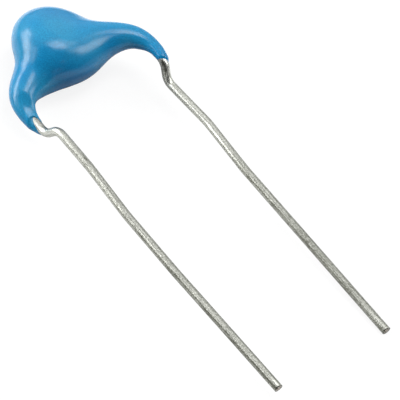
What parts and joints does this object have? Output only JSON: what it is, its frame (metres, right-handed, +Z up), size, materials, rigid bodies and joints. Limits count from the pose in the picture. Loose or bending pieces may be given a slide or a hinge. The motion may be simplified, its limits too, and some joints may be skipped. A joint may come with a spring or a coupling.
{
  "type": "ceramic disc capacitor",
  "caption": "Radial ceramic disc capacitor with a dipped blue epoxy coat and crimped tinned wire leads for through-hole mounting.",
  "frame": {"origin": "on the table, below the middle of the part's bounding box, as it lies at rest on its back face", "axes": "+Y along the leads from their cut tips towards the disc, +X across the leads from the back lead to the front lead, +Z up from the table"},
  "size_m": [0.011, 0.0324, 0.0045],
  "materials": {
    "epoxy": "glossy dipped epoxy, light blue with depth",
    "ceramic": "matte fired ceramic",
    "silver": "matte fired silver",
    "solder": "satin solder",
    "tinned_wire": "bright drawn tin"
  },
  "bodies": {
    "root": {"epoxy_coat": "epoxy", "ceramic_disc": "ceramic", "front_electrode": "silver", "back_electrode": "silver", "front_solder": "solder", "back_solder": "solder", "front_lead": "tinned_wire", "back_lead": "tinned_wire"}
  },
  "joints": []
}
